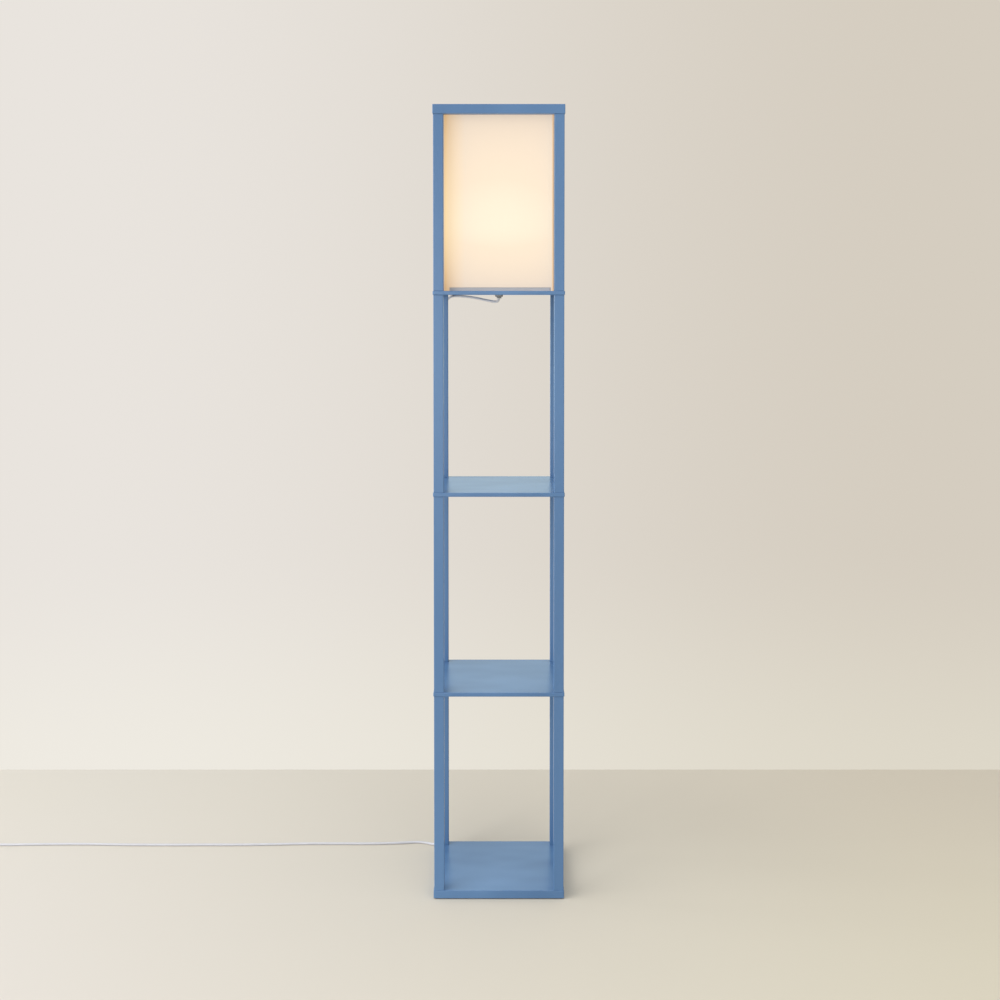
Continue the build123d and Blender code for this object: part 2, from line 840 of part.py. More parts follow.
def switch_rocker():
    """The rocker, a shallow V on two trunnions, pressed down at its near end."""
    half = rocker_length / 2
    rim = rocker_rise
    outline = Polyline(
        (-half, -rocker_skirt),
        (half, -rocker_skirt),
        (half, rim),
        (0, rim - rocker_dip),
        (-half, rim),
        close=True,
    )
    profile = make_face(outline) + Circle(rocker_hub_radius)
    body = extrude(Plane.XZ * profile, rocker_width / 2, both=True)
    pins = Rot(90, 0, 0) * Cylinder(trunnion_radius, rocker_width + 2 * trunnion_length)
    rocker = Rot(0, rocker_tilt, 0) * (body + pins)
    return Pos(switch_middle, switch_y, switch_lower_height + rocker_pivot_height) * rocker


def switch_reliefs():
    """The two sleeves that the lead goes into the switch through."""
    sleeve = strain_relief(relief_length, relief_base_radius)
    far = Pos(switch_far, switch_y, switch_entry_height) * sleeve
    near = Pos(switch_near, switch_y, switch_entry_height) * Rot(0, 0, 180) * sleeve
    return group([near, far])


# ---------------------------------------------------------------------------
# Plug, along +X from the lead's end at x = 0, its axis at z = 0
# ---------------------------------------------------------------------------

def at_blades(solid):
    """Two copies of a solid, one on each blade's axis, from the plug's face on."""
    face = plug_relief_length + plug_length
    return [Pos(face, side * blade_spacing / 2, 0) * solid for side in (-1, 1)]


def plug_body():
    """The moulded plug with its own ribbed sleeve."""
    across = Plane.YZ
    shoulder = plug_relief_length + plug_length / 2
    neck = RectangleRounded(plug_neck_width, plug_neck_height, plug_corner_radius)
    face = RectangleRounded(plug_width, 2 * tail_axis, plug_corner_radius)
    taper = [across.offset(plug_relief_length) * neck, across.offset(shoulder) * face]
    body = loft(taper, ruled=True) + extrude(across.offset(shoulder) * face, plug_length / 2)
    root = Box(2 * blade_root, blade_thickness, blade_height)
    for cut in at_blades(root):
        body -= cut
    sleeve = strain_relief(plug_relief_length, plug_neck_height / 2)
    return body + Pos(plug_relief_length, 0, 0) * sleeve


def plug_blades():
    """Two flat blades, each with the hole near its tip."""
    length = blade_root + blade_length
    blade = Box(length, blade_thickness, blade_height, align=(Align.MIN, Align.CENTER, Align.CENTER))
    blade = chamfer(blade.faces().sort_by(Axis.X)[-1].edges(), blade_thickness / 3)
    hole = Rot(90, 0, 0) * Cylinder(blade_hole_diameter / 2, 2 * blade_thickness)
    blade = Pos(-blade_root, 0, 0) * blade - Pos(blade_length - blade_hole_from_tip, 0, 0) * hole
    return group(at_blades(blade))


# ---------------------------------------------------------------------------
# All nodes
# ---------------------------------------------------------------------------

nodes = {
    "felt_feet": felt_feet(),
    "base_board": base_board(),
    "lower_shelf": shelf_board(lower_shelf_low),
    "middle_shelf": shelf_board(middle_shelf_low),
    "lamp_shelf": lamp_shelf(),
    "front_rail": cross_rail(-1),
    "back_rail": cross_rail(1),
    "left_rail": side_rail(-1),
    "right_rail": side_rail(1),
    "threaded_inserts": threaded_inserts(),
    "hanger_bolts": hanger_bolts(),
    "base_screws": base_screws(),
    "post_dowels": post_dowels(),
    "frame_dowels": frame_dowels(),
    "shade_overlap": shade_overlap(),
    "shade_top_wire": top_wire(),
    "shade_frame": shade_frame(),
    "nipple": nipple(),
    "lock_nut": lock_nut(),
    "cord_bushing": cord_bushing(),
    "holder_cap": holder_cap(),
    "holder_body": holder_body(),
    "screw_shell": screw_shell(),
    "centre_contact": centre_contact(),
    "holder_wires": holder_wires(),
    "bulb_tip": bulb_tip(),
    "bulb_cap": bulb_cap(),
    "bulb_globe": bulb_globe(),
    "cord_lead": cord_tube(lead_points, "lead"),
    "cord_link": cord_tube(link_points, "link"),
    "cord_clips": cord_clips(),
    "switch_lower": switch_lower(),
    "switch_upper": switch_upper(),
    "switch_rocker": switch_rocker(),
    "switch_reliefs": switch_reliefs(),
}
for side_name in ("front", "back", "left", "right"):
    nodes[f"shade_{side_name}"] = shade_panel(side_name)
for tier, (foot_level, height) in TIERS.items():
    shaft = post(height, tier == "lamp")
    for corner, (sign_x, sign_y) in CORNERS.items():
        place = Pos(sign_x * post_centre, sign_y * post_centre, foot_level)
        nodes[f"post_{tier}_{corner}"] = place * shaft

coil_line, coil_end, coil_heading = coil_path()
nodes["cord_coil"] = cord_coil(coil_line)
plug_place = Plane(origin=coil_end, x_dir=coil_heading, z_dir=(0, 0, 1)).location
nodes["plug_body"] = plug_place * plug_body()
nodes["plug_blades"] = plug_place * plug_blades()

for node, solid in nodes.items():
    solid.label = node
    export_step(solid, f"parts/{node}.step")
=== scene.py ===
import json
import math

import bmesh
import bpy
from mathutils import Matrix, Vector

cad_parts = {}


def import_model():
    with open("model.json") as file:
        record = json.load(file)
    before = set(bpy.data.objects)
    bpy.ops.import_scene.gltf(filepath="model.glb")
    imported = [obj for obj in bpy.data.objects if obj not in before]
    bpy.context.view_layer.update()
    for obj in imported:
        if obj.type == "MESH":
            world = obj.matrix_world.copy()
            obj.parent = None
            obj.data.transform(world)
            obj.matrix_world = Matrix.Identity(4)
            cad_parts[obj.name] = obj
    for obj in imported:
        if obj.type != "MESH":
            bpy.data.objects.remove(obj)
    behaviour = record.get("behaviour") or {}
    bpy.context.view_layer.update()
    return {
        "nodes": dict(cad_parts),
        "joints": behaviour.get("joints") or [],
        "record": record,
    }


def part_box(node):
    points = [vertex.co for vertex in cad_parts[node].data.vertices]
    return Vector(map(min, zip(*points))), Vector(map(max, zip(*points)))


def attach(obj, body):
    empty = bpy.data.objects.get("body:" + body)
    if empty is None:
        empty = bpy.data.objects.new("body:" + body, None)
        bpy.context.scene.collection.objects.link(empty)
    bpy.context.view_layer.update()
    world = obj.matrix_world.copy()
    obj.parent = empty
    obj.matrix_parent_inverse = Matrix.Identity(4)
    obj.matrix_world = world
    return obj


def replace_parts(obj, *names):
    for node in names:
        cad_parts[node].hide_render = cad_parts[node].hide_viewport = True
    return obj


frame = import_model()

# A shelf floor lamp in its studio. Metres, in the CAD's frame: +X right, +Y back, +Z up.

nodes = frame["nodes"]
scene = bpy.context.scene
MM = 0.001
TURN = 2 * math.pi

# A Mix node's sockets for colours: how much of the second one, the two, and what comes out.
MIX_SHARE, MIX_FIRST, MIX_SECOND, MIX_OUT = 0, 6, 7, 2


# ---------------------------------------------------------------------------
# Helpers
# ---------------------------------------------------------------------------

def colour(hex_value, dim=1.0):
    """A linear colour from an sRGB hex value, dimmed when asked."""
    parts = [int(hex_value[i:i + 2], 16) / 255 for i in (1, 3, 5)]
    linear = [p / 12.92 if p <= 0.04045 else ((p + 0.055) / 1.055) ** 2.4 for p in parts]
    return (*[dim * value for value in linear], 1.0)


def add(tree, kind, links=None, stops=(), **settings):
    """One node: a socket among its links is joined, another value is set, and stops are a ramp's colours."""
    node = tree.nodes.new(kind)
    for key, value in settings.items():
        setattr(node, key, value)
    for socket, source in (links or {}).items():
        if isinstance(source, bpy.types.NodeSocket):
            tree.links.new(source, node.inputs[socket])
        else:
            node.inputs[socket].default_value = source
    for i, (position, value) in enumerate(stops):
        if i >= len(node.color_ramp.elements):
            node.color_ramp.elements.new(position)
        node.color_ramp.elements[i].position = position
        node.color_ramp.elements[i].color = value
    return node


def new_material(name):
    """A material with an empty tree, and the Object coordinates that its patterns read."""
    material = bpy.data.materials.new(name)
    material.use_nodes = True
    tree = material.node_tree
    tree.nodes.clear()
    return material, tree, add(tree, "ShaderNodeTexCoord").outputs["Object"]


def finish_material(tree, links):
    """Ends a material's tree in its Principled shader."""
    shader = add(tree, "ShaderNodeBsdfPrincipled", links)
    add(tree, "ShaderNodeOutputMaterial", {"Surface": shader.outputs[0]})


# ---------------------------------------------------------------------------
# Materials
# ---------------------------------------------------------------------------

def satin_lacquer():
    """Satin lacquer sprayed on fine-grained board: a soft sheen over a blue that clouds a little, partly
    where the coat lies thicker and partly as painted sheen, and a faint orange peel."""
    material, tree, place = new_material("satin_blue_lacquer")
    # The gun sweeps across the boards and along the posts, so that the clouds are long that way; the painted
    # sheen in them lies the same way.
    cloud_stretch = add(tree, "ShaderNodeMapping", {
        "Vector": place, "Location": (0.3, 0.1, 0.05), "Scale": (0.6, 1.2, 0.1)}).outputs[0]
    coat_and_sheen = add(tree, "ShaderNodeTexNoise", {
        "Vector": cloud_stretch, "Scale": 1 / (90 * MM), "Detail": 1.0}).outputs["Fac"]
    # The clouds are partly a thicker coat and partly painted sheen: the blue is paler where soft reflections
    # would lie.
    base = add(tree, "ShaderNodeValToRGB", {"Fac": coat_and_sheen}, [
        (0.2, colour(BLUE_DEEP)), (0.8, colour(BLUE_PALE))])
    # A thicker coat levels a little better. A wider range than this shows as lines on the denoised shelves.
    shine = add(tree, "ShaderNodeMapRange", {"Value": coat_and_sheen, "To Min": 0.275, "To Max": 0.26}).outputs[0]
    # Orange peel is 1 to 3 mm across; the coarse end of that shows.
    peel = add(tree, "ShaderNodeTexNoise", {
        "Vector": place, "Scale": 1 / (3 * MM), "Detail": 1.0}).outputs["Fac"]
    relief = add(tree, "ShaderNodeBump", {"Height": peel, "Distance": 0.02 * MM, "Strength": 0.3}).outputs[0]
    finish_material(tree, {"Base Color": base.outputs[0], "Roughness": shine, "IOR": 1.5, "Normal": relief})
    return material


def moulded_plastic(name, hex_value, roughness, grain_mm=0.6):
    """Moulded plastic or powder coat: one even colour, a fine grain and a soft shine."""
    material, tree, place = new_material(name)
    tint = add(tree, "ShaderNodeTexNoise", {
        "Vector": place, "Scale": 1 / (30 * MM), "Detail": 1.0}).outputs["Fac"]
    base = add(tree, "ShaderNodeValToRGB", {"Fac": tint}, [
        (0.0, colour(hex_value)), (1.0, colour(hex_value, 0.88))])
    grain = add(tree, "ShaderNodeTexNoise", {
        "Vector": place, "Scale": 1 / (grain_mm * MM), "Detail": 2.0}).outputs["Fac"]
    shine = add(tree, "ShaderNodeMapRange", {
        "Value": grain, "To Min": roughness - 0.08, "To Max": roughness + 0.08}).outputs[0]
    relief = add(tree, "ShaderNodeBump", {"Height": grain, "Distance": 0.02 * MM, "Strength": 0.3}).outputs[0]
    finish_material(tree, {"Base Color": base.outputs[0], "Roughness": shine, "IOR": 1.5, "Normal": relief})
    return material


def bare_metal(name, hex_value, roughness, grain_mm, stretch=(1, 1, 1)):
    """Plated or drawn metal: bright, and duller in the fine marks of its making."""
    material, tree, place = new_material(name)
    drawn = add(tree, "ShaderNodeMapping", {"Vector": place, "Scale": stretch}).outputs[0]
    marks = add(tree, "ShaderNodeTexNoise", {
        "Vector": drawn, "Scale": 1 / (grain_mm * MM), "Detail": 4.0}).outputs["Fac"]
    base = add(tree, "ShaderNodeValToRGB", {"Fac": marks}, [
        (0.3, colour(hex_value, 0.82)), (0.7, colour(hex_value))])
    shine = add(tree, "ShaderNodeMapRange", {
        "Value": marks, "To Min": roughness + 0.1, "To Max": roughness - 0.08}).outputs[0]
    relief = add(tree, "ShaderNodeBump", {"Height": marks, "Distance": 0.01 * MM, "Strength": 0.3}).outputs[0]
    finish_material(tree, {
        "Base Color": base.outputs[0], "Roughness": shine, "Metallic": 1.0, "Normal": relief})
    return material


def wool_felt():
    """Pressed grey felt: matt and soft-edged, its short fibres combed a little one way."""
    material, tree, place = new_material("grey_wool_felt")
    # Single fibres are far too fine to show; these are tufts of them.
    combed = add(tree, "ShaderNodeMapping", {"Vector": place, "Scale": (1, 3, 1)}).outputs[0]
    fibres = add(tree, "ShaderNodeTexNoise", {
        "Vector": combed, "Scale": 1 / (0.8 * MM), "Detail": 5.0}).outputs["Fac"]
    base = add(tree, "ShaderNodeValToRGB", {"Fac": fibres}, [
        (0.35, colour("#2E2E31")), (0.7, colour("#55555A"))])
    relief = add(tree, "ShaderNodeBump", {"Height": fibres, "Distance": 0.3 * MM, "Strength": 0.8}).outputs[0]
    finish_material(tree, {
        "Base Color": base.outputs[0], "Roughness": 0.95, "Sheen Weight": 0.4, "Normal": relief})
    return material


def turned_beech():
    """Turned beech: pale brown, with short dark flecks along the grain."""
    material, tree, place = new_material("turned_beech")
    along = add(tree, "ShaderNodeMapping", {"Vector": place, "Scale": (1, 1, 0.1)}).outputs[0]
    grain = add(tree, "ShaderNodeTexNoise", {
        "Vector": along, "Scale": 1 / (1.2 * MM), "Detail": 4.0}).outputs["Fac"]
    base = add(tree, "ShaderNodeValToRGB", {"Fac": grain}, [
        (0.3, colour("#A97F52")), (0.7, colour("#D0AB80"))])
    relief = add(tree, "ShaderNodeBump", {"Height": grain, "Distance": 0.05 * MM, "Strength": 0.4}).outputs[0]
    finish_material(tree, {"Base Color": base.outputs[0], "Roughness": 0.6, "Normal": relief})
    return material


def laminated_cloth():
    """Plain-woven cream cloth laminated to a clear sheet: slubby threads, lit by the bulb behind them."""
    material, tree, place = new_material("cream_laminated_cloth")
    spread = add(tree, "ShaderNodeUVMap", uv_map="cloth").outputs["UV"]
    waves = add(tree, "ShaderNodeVectorMath", {
        0: spread, "Scale": TURN / THREAD_SPACING}, operation="SCALE").outputs[0]
    sines = add(tree, "ShaderNodeVectorMath", {0: waves}, operation="SINE").outputs[0]
    warp, weft = add(tree, "ShaderNodeSeparateXYZ", {0: sines}).outputs[:2]
    weave = add(tree, "ShaderNodeMath", {0: warp, 1: weft}, operation="MULTIPLY").outputs[0]
    # Slubs: thick places in single threads, long one way and a thread wide the other.
    long_up = add(tree, "ShaderNodeMapping", {
        "Vector": spread, "Scale": (1.0, SLUB_DRAW, 1.0)}).outputs[0]
    long_across = add(tree, "ShaderNodeMapping", {
        "Vector": spread, "Scale": (SLUB_DRAW, 1.0, 1.0)}).outputs[0]
    slub_up, slub_across = [add(tree, "ShaderNodeTexNoise", {
        "Vector": way, "Scale": 1 / SLUB_WIDTH, "Detail": 2.0,
    }).outputs["Fac"] for way in (long_up, long_across)]
    slubs = add(tree, "ShaderNodeMath", {0: slub_up, 1: slub_across}, operation="ADD").outputs[0]
    mean_slub = add(tree, "ShaderNodeMath", {0: slubs, 1: 0.5}, operation="MULTIPLY").outputs[0]
    # About a half on the whole: less where threads are thin, more where they are thick.
    threads = add(tree, "ShaderNodeMath", {
        0: weave, 1: WEAVE_SHARE, 2: mean_slub}, operation="MULTIPLY_ADD").outputs[0]
    cloth = add(tree, "ShaderNodeValToRGB", {"Fac": threads}, [
        (0.2, colour("#A39581")), (0.8, colour("#B0A28E"))])
    relief = add(tree, "ShaderNodeBump", {
        "Height": threads, "Distance": 0.12 * MM, "Strength": 0.35}).outputs[0]

    # The bulb's light weakens with its way to the cloth, and the holder takes some of what goes down.
    from_bulb = add(tree, "ShaderNodeVectorMath", {0: place, 1: hot_spot}, operation="SUBTRACT").outputs[0]
    rise = add(tree, "ShaderNodeSeparateXYZ", {0: from_bulb}).outputs[2]
    shaded = add(tree, "ShaderNodeMath", {0: rise, 1: 0.0}, operation="LESS_THAN").outputs[0]
    stretch = add(tree, "ShaderNodeMapRange", {
        "Value": shaded, "To Min": 1.0, "To Max": HOLDER_SHADES}).outputs[0]
    weights = add(tree, "ShaderNodeCombineXYZ", {0: GLOW_ACROSS, 1: 1.0, 2: stretch}).outputs[0]
    weighted = add(tree, "ShaderNodeVectorMath", {0: from_bulb, 1: weights}, operation="MULTIPLY").outputs[0]
    way = add(tree, "ShaderNodeVectorMath", {0: weighted}, operation="LENGTH").outputs["Value"]
    share = add(tree, "ShaderNodeMapRange", {
        "Value": way, "From Min": shade_half, "From Max": GLOW_REACH}).outputs[0]
    glow = add(tree, "ShaderNodeValToRGB", {"Fac": share}, [
        (0.0, colour(GLOW_NEAR)), (0.2, colour(GLOW_MIDDLE)), (1.0, colour(GLOW_FAR))]).outputs[0]
    # Painted shade: two layers at the lap pass less of the light, and warm it, and the glow stays warmer and
    # dimmer into the corner beyond the lap; only the raw edge itself is thin again.
    along = add(tree, "ShaderNodeSeparateXYZ", {0: spread}).outputs[0]
    from_edge = add(tree, "ShaderNodeMapRange", {"Value": along, "From Max": LAP_CORNER_FADE}).outputs[0]
    lap = add(tree, "ShaderNodeValToRGB", {"Fac": from_edge}, [
        (at, (amount, amount, amount, 1)) for at, amount in LAP_STOPS]).outputs[0]
    lap_glow = add(tree, "ShaderNodeValToRGB", {"Fac": share}, [
        (0.0, colour(LAP_NEAR)), (1.0, colour(LAP_FAR))]).outputs[0]
    glow = add(tree, "ShaderNodeMix", {
        MIX_SHARE: lap, MIX_FIRST: glow, MIX_SECOND: lap_glow}, data_type="RGBA").outputs[MIX_OUT]
    # Painted shade: the glow is darker and browner along each fold.
    crease = add(tree, "ShaderNodeAttribute", attribute_name="crease").outputs["Fac"]
    glow = add(tree, "ShaderNodeMix", {
        MIX_SHARE: crease, MIX_FIRST: glow, MIX_SECOND: colour(FOLD_SHADE_GLOW),
    }, data_type="RGBA").outputs[MIX_OUT]
    # Thick threads pass less of the light than thin ones.
    passed = add(tree, "ShaderNodeMapRange", {
        "Value": threads, "From Min": 0.25, "From Max": 0.75, "To Min": 1.06, "To Max": 0.94}).outputs[0]
    finish_material(tree, {
        "Base Color": cloth.outputs[0], "Roughness": 0.9, "Specular IOR Level": 0.2, "Normal": relief,
        "Emission Color": glow, "Emission Strength": passed})
    return material


def lit_opal_glass():
    """Opal glass: white all through, smooth outside, lit from inside and warmer towards its neck."""
    material, tree, place = new_material("lit_opal_glass")
    swirl = add(tree, "ShaderNodeTexNoise", {
        "Vector": place, "Scale": 1 / (25 * MM), "Detail": 2.0}).outputs["Fac"]
    base = add(tree, "ShaderNodeValToRGB", {"Fac": swirl}, [
        (0.3, colour("#FBF6EC")), (0.7, colour("#F3ECDF"))])
    height = add(tree, "ShaderNodeSeparateXYZ", {0: place}).outputs[2]
    from_neck = add(tree, "ShaderNodeMapRange", {
        "Value": height, "From Min": globe_bottom, "From Max": bulb_centre.z,
    }, interpolation_type="SMOOTHSTEP").outputs[0]
    glow = add(tree, "ShaderNodeValToRGB", {"Fac": from_neck}, [
        (0.0, colour("#FFDDA8")), (1.0, colour("#FFE6C2"))]).outputs[0]
    finish_material(tree, {
        "Base Color": base.outputs[0], "Roughness": 0.2,
        "Emission Color": glow, "Emission Strength": OPAL_GLOW})
    return material


BLUE_DEEP = "#4B709B"
BLUE_PALE = "#5F85B1"

bulb_low, bulb_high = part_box("bulb_globe")
globe_bottom = bulb_low.z
globe_radius = (bulb_high.x - bulb_low.x) / 2
bulb_centre = Vector((0, 0, bulb_high.z - globe_radius))
# The shade is brightest at this height, as the photograph shows it.
hot_spot = bulb_centre + Vector((0, 0, 35 * MM))
shade_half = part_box("shade_front")[1].x

THREAD_SPACING = 1.4 * MM     # real threads are about 0.4 mm apart; at this much some of the weave shows
SLUB_WIDTH = 2.2 * MM
SLUB_DRAW = 0.04              # a slub's width as a share of its length
WEAVE_SHARE = 0.17            # how much the weave counts beside the slubs
OPAL_GLOW = 3.0

# How the lit cloth looks nearest the bulb, between, and in the shade's corners.
GLOW_NEAR = "#CAC5B4"
GLOW_MIDDLE = "#C9BAA9"
GLOW_FAR = "#B9ACA2"
# The painted shade of the lap and the corner, nearest the bulb and furthest from it.
LAP_NEAR = "#E8C891"
LAP_FAR = "#BC925B"
# The glow's painted shade along the folds.
FOLD_SHADE_GLOW = "#C4A07A"
GLOW_REACH = 0.27             # from the hot spot to where the cloth has its far colour
GLOW_ACROSS = 0.7             # what a way across counts, so that the glow is wider than it is tall
HOLDER_SHADES = 1.9           # what a way down counts, because the holder stands in the light
LAP_CORNER_FADE = 42 * MM            # how far from the cloth's raw edge the painted shade of the lap and the corner reaches
# How much of the lap's and the corner's painted shade shows, at shares of that way.
LAP_STOPS = [(0.0, 0.3), (0.04, 1.0), (0.28, 0.55), (1.0, 0.0)]

materials = {
    "painted_wood": satin_lacquer(),
    "felt": wool_felt(),
    "zinc_plated_steel": bare_metal("zinc_plated_steel", "#8F9296", 0.38, 0.8),
    "beech": turned_beech(),
    "shade_fabric": laminated_cloth(),
    "white_steel": moulded_plastic("white_powder_coat", "#C5C3C4", 0.45, grain_mm=0.9),
    "holder_plastic": moulded_plastic("white_phenolic", "#E6E4DF", 0.3),
    "brass": bare_metal("drawn_brass", "#C9A961", 0.28, 0.6, stretch=(1, 1, 6)),
    "bulb_aluminium": bare_metal("rolled_aluminium", "#C6C7CA", 0.3, 0.5, stretch=(1, 1, 6)),
    "opal_glass": lit_opal_glass(),
    "cord_vinyl": moulded_plastic("white_vinyl", "#D0D1D7", 0.4, grain_mm=1.2),
    "white_plastic": moulded_plastic("white_nylon", "#E8E8EA", 0.42),
}

for subpart in frame["record"]["subparts"]:
    mesh = nodes[subpart["node"]].data
    mesh.materials.clear()
    mesh.materials.append(materials[subpart["material_slot"]])


# ---------------------------------------------------------------------------
# Lead
# ---------------------------------------------------------------------------

cord_radius = 2.5 * MM

# The routes' points and the coil's sizes are in millimetres.
lead_route = [
    (0.0, 0.0, 1211.0),
    (0.0, 0.0, 1203.0),
    (-4.2, 4.6, 1197.8),
    (-14.0, 16.0, 1198.6),
    (-29.5, 33.5, 1201.6),
    (-50.0, 57.0, 1206.0),
    (-73.0, 85.0, 1208.9),
    (-91.0, 113.0, 1209.8),
    (-105.0, 138.0, 1209.2),
    (-117.0, 152.8, 1198.5),
    (-122.0, 152.0, 1171.0),
    (-120.6, 143.0, 1141.0),
    (-119.7, 137.0, 1105.0),
    (-119.7, 137.0, 1075.0),
    (-119.7, 137.0, 100.0),
    (-119.7, 137.0, 72.0),
    (-120.2, 137.6, 44.0),
    (-124.5, 139.6, 19.0),
    (-139.5, 147.2, 2.6),
    (-160.0, 159.8, 2.6),
    (-181.0, 164.6, 2.6),
    (-209.0, 160.6, 2.6),
    (-250.0, 156.0, 2.6),
    (-310.0, 154.4, 2.6),
    (-375.0, 155.6, 2.6),
    (-440.0, 154.6, 2.6),
    (-505.0, 150.6, 2.6),
    (-573.0, 148.3, 2.6),
    (-643.0, 148.9, 2.6),
    (-712.0, 148.0, 2.6),
    (-782.0, 148.2, 2.6),
    (-850.0, 149.8, 2.6),
    (-915.0, 153.0, 2.6),
    (-980.0, 152.6, 2.6),
    (-1040.0, 150.0, 2.6),
    (-1080.0, 148.6, 2.6),
    (-1104.0, 149.0, 2.8),
    (-1121.0, 149.0, 5.0),
    (-1136.0, 149.0, 5.0),
]
link_route = [
    (-1238.0, 149.0, 5.0),
    (-1247.0, 149.0, 5.0),
    (-1257.0, 149.0, 2.6),
    (-1266.0, 149.0, 2.6),
]
COIL_MEAN = 27.5              # radius half way between the inner and the outer turns
COIL_PITCH = 5.7              # from turn to turn, and from layer to layer
TURNS_IN = 1.5
CLIMB = 0.5                   # turns from the lower layer up to the upper one
CLIMB_TUCK = 0.5              # draws the climbing turn in, by an eighth of the pitch at most
TURNS_OUT = 1.5
COIL_END = 5.0                # straight at each end
POINTS_PER_TURN = 16


def coil_spot(turn):
    """The coil's centre line after so many turns, before it is placed: in, up a layer, out."""
    spread = COIL_PITCH * TURNS_IN
    outer = COIL_MEAN + spread / 2
    inner = outer - spread
    climb_end = TURNS_IN + CLIMB
    if turn <= TURNS_IN:
        radius, height = outer - COIL_PITCH * turn, 0.0
    elif turn <= climb_end:
        share = (turn - TURNS_IN) / (climb_end - TURNS_IN)
        radius = inner - COIL_PITCH * CLIMB_TUCK * share * (1 - share)
        height = COIL_PITCH * (share - math.sin(TURN * share) / TURN)
    else:
        radius, height = inner + COIL_PITCH * (turn - climb_end), COIL_PITCH
    angle = math.pi / 2 + TURN * turn
    return Vector((radius * math.cos(angle), radius * math.sin(angle), height))


def coil_route():
    """The put-away turns, placed so that they start in line with the lead, and a straight end."""
    last = TURNS_IN + CLIMB + TURNS_OUT
    step = 1e-4
    heading = coil_spot(step) - coil_spot(0)
    turned = Matrix.Rotation(math.atan2(heading.y, -heading.x), 3, "Z")
    shift = Vector(link_route[-1]) + Vector((-COIL_END, 0, 0)) - turned @ coil_spot(0)
    count = round(last * POINTS_PER_TURN)
    spots = [shift + turned @ coil_spot(last * i / count) for i in range(count + 1)]
    ahead = turned @ (coil_spot(last) - coil_spot(last - step)).normalized()
    return [tuple(spot) for spot in spots + [spots[-1] + ahead * COIL_END]]


def cord_curve(name, route):
    """A round lead whose line is a smooth spline with the route's points as its control points."""
    curve = bpy.data.curves.new(name, "CURVE")
    curve.dimensions = "3D"
    spline = curve.splines.new("NURBS")
    spline.points.add(len(route) - 1)
    for point, spot in zip(spline.points, route):
        point.co = (spot[0] * MM, spot[1] * MM, spot[2] * MM, 1.0)
    spline.order_u = 3
    spline.use_endpoint_u = True
    spline.resolution_u = 12
    curve.bevel_depth = cord_radius
    curve.bevel_resolution = 5
    curve.use_fill_caps = True
    curve.materials.append(materials["cord_vinyl"])
    cord = bpy.data.objects.new(name, curve)
    scene.collection.objects.link(cord)
    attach(cord, "tower")
    return cord


lead = cord_curve("lead_to_switch", lead_route)
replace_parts(lead, "cord_lead")
tail = cord_curve("lead_to_plug", link_route + coil_route())
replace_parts(tail, "cord_link", "cord_coil")


# ---------------------------------------------------------------------------
# Making pieces
# ---------------------------------------------------------------------------

SMOOTH_ANGLE = math.radians(35)


def new_piece(name, mesh, material_slot, body="tower"):
    """A finished mesh as a piece of the lamp, in its finish and on its body."""
    mesh.materials.clear()
    mesh.materials.append(materials[material_slot])
    piece = bpy.data.objects.new(name, mesh)
    scene.collection.objects.link(piece)
    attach(piece, body)
    return piece


def mesh_of(name, points, faces):
    """A mesh from points and faces, smooth where its faces meet at a small angle."""
    mesh = bpy.data.meshes.new(name)
    mesh.from_pydata([tuple(point) for point in points], [], faces)
    mesh.polygons.foreach_set("use_smooth", [True] * len(mesh.polygons))
    mesh.set_sharp_from_angle(angle=SMOOTH_ANGLE)
    return mesh


def turned_mesh(name, outline, around=72):
    """A closed turned shape about the lamp's axis, from (radius, height) points in metres."""
    points = []
    rings = []
    for radius, height in outline:
        first = len(points)
        if radius == 0:
            points.append((0, 0, height))
            rings.append([first] * around)
            continue
        for i in range(around):
            angle = TURN * i / around
            points.append((radius * math.cos(angle), radius * math.sin(angle), height))
        rings.append([first + i for i in range(around)])
    faces = []
    for low, high in zip(rings, rings[1:] + rings[:1]):
        for i in range(around):
            ahead = (i + 1) % around
            corners = dict.fromkeys((low[i], low[ahead], high[ahead], high[i]))
            if len(corners) > 2:
                faces.append(tuple(corners))
    return mesh_of(name, points, faces)


def finely(start, end, step=0.35 * MM):
    """Points from start up to but without end, no further apart than a step."""
    start = Vector(start)
    end = Vector(end)
    count = max(1, math.ceil((end - start).length / step))
    return [tuple(start.lerp(end, i / count)) for i in range(count)]


def new_tree(name, inputs):
    """An empty Geometry Nodes tree with a shape in and out and more named inputs, and what those give."""
    tree = bpy.data.node_groups.new(name, "GeometryNodeTree")
    for label, kind in [("Geometry", "Geometry"), *inputs, ("Material", "Material")]:
        tree.interface.new_socket(name=label, in_out="INPUT", socket_type="NodeSocket" + kind)
    tree.interface.new_socket(name="Geometry", in_out="OUTPUT", socket_type="NodeSocketGeometry")
    return tree, add(tree, "NodeGroupInput").outputs


def finish_tree(tree, geometry, given):
    """Ends a tree: instances made real, the finish given, and the result put out."""
    real = add(tree, "GeometryNodeRealizeInstances", {0: geometry}).outputs[0]
    finished = add(tree, "GeometryNodeSetMaterial", {
        "Geometry": real, "Material": given["Material"]}).outputs[0]
    add(tree, "NodeGroupOutput", {0: finished})


def run_tree(name, mesh, tree, values):
    """The plain mesh that a Geometry Nodes tree makes of a mesh, with its named inputs set."""
    maker = bpy.data.objects.new(name, mesh)
    scene.collection.objects.link(maker)
    modifier = maker.modifiers.new("maker", "NODES")
    modifier.node_group = tree
    sockets = {item.name: item.identifier for item in tree.interface.items_tree if item.in_out == "INPUT"}
    for key, value in values.items():
        modifier[sockets[key]] = value
    bpy.context.view_layer.update()
    finished = maker.evaluated_get(bpy.context.evaluated_depsgraph_get())
    made = bpy.data.meshes.new_from_object(finished)
    made.name = name
    bpy.data.objects.remove(maker)
    return made


